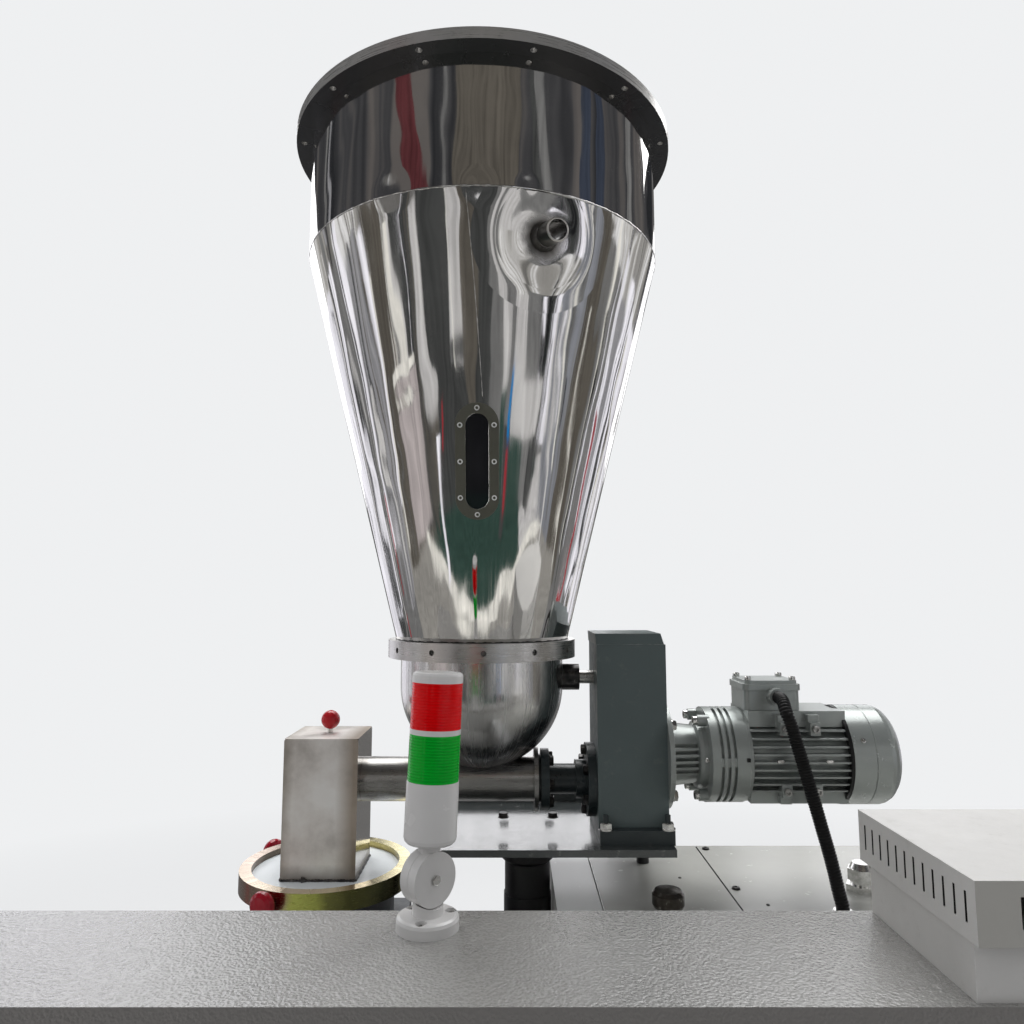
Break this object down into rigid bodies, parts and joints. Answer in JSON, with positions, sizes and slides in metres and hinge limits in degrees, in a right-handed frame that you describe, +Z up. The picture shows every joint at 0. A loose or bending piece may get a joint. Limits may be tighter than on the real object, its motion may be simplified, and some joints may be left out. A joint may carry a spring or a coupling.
{
  "type": "plastic extruder feeding station",
  "caption": "Polished conical hopper and mixing bowl over a screw feeder with gearmotor, on an extruder bed with feed throat, tower lamp and vented box.",
  "frame": {"origin": "on the floor, under the middle of the machine's outline", "axes": "+X to the right along the bed, +Y to the rear, +Z up"},
  "size_m": [1.288, 0.869, 2.231],
  "materials": {
    "bed_paint": "satin light grey enamel",
    "door_paint": "satin light grey enamel",
    "hammertone": "glossy orange-peel grey enamel",
    "deck_paint": "satin grey enamel",
    "zinc_steel": "zinc plated steel",
    "throat_steel": "dark machined steel",
    "chromate": "yellow chromate plating",
    "disc_finish": "pale smooth paint",
    "red_plastic": "glossy red",
    "brushed_stainless": "brushed stainless steel",
    "mirror_stainless": "mirror polished stainless steel",
    "dark_paint": "satin dark grey green enamel",
    "motor_paint": "metallic grey green enamel",
    "black_steel": "black enamel",
    "black_rubber": "corrugated black plastic",
    "sight_glass": "dark clear glass",
    "box_paint": "off white powder coat",
    "lamp_plastic": "off white moulded plastic",
    "lens_red": "clear red moulded plastic",
    "lens_green": "clear green moulded plastic"
  },
  "bodies": {
    "station": {"levelling_feet": "zinc_steel", "base_cabinet": "bed_paint", "gearbox_cabinet": "bed_paint", "trunk_cabinet": "bed_paint", "front_doors": "door_paint", "end_panels": "door_paint", "rear_panels": "door_paint", "trunk_cover": "hammertone", "deck_plates": "deck_paint", "deck_fittings": "zinc_steel", "throat_block": "throat_steel", "drive_lantern": "dark_paint", "throat_disc": "disc_finish", "clamp_ring": "chromate", "clamp_knobs": "red_plastic", "chute": "brushed_stainless", "chute_lid": "brushed_stainless", "feed_tube": "brushed_stainless", "feed_screw": "brushed_stainless", "bearing_housing": "dark_paint", "gear_case": "dark_paint", "gear_case_lid": "dark_paint", "case_foot": "dark_paint", "base_plate": "dark_paint", "support_post": "black_steel", "post_socket": "black_steel", "hopper_rim": "mirror_stainless", "hopper_cylinder": "mirror_stainless", "hopper_cone": "mirror_stainless", "sight_frame": "brushed_stainless", "sight_glass": "sight_glass", "hopper_flange": "brushed_stainless", "mixing_bowl": "mirror_stainless", "seal_housing": "black_steel", "gear_reducer": "motor_paint", "motor_body": "motor_paint", "fan_cowl": "motor_paint", "terminal_box": "motor_paint", "motor_conduit": "black_rubber", "vent_box": "box_paint", "vent_box_lid": "box_paint", "lamp_base": "lamp_plastic"},
    "agitator": {"agitator": "brushed_stainless"},
    "lamp_head": {"lamp_body": "lamp_plastic", "lens_red": "lens_red", "lens_green": "lens_green"}
  },
  "joints": [
    {"name": "agitator_spin", "type": "hinge", "parent": "station", "child": "agitator", "pos_m": [-0.126, 0.1365, 1.393], "axis": [1, 0, 0], "continuous": true},
    {"name": "lamp_fold", "type": "hinge", "parent": "station", "child": "lamp_head", "pos_m": [-0.16, -0.287, 1.249], "axis": [0.7071, -0.7071, 0], "range_deg": [0, 90]}
  ]
}
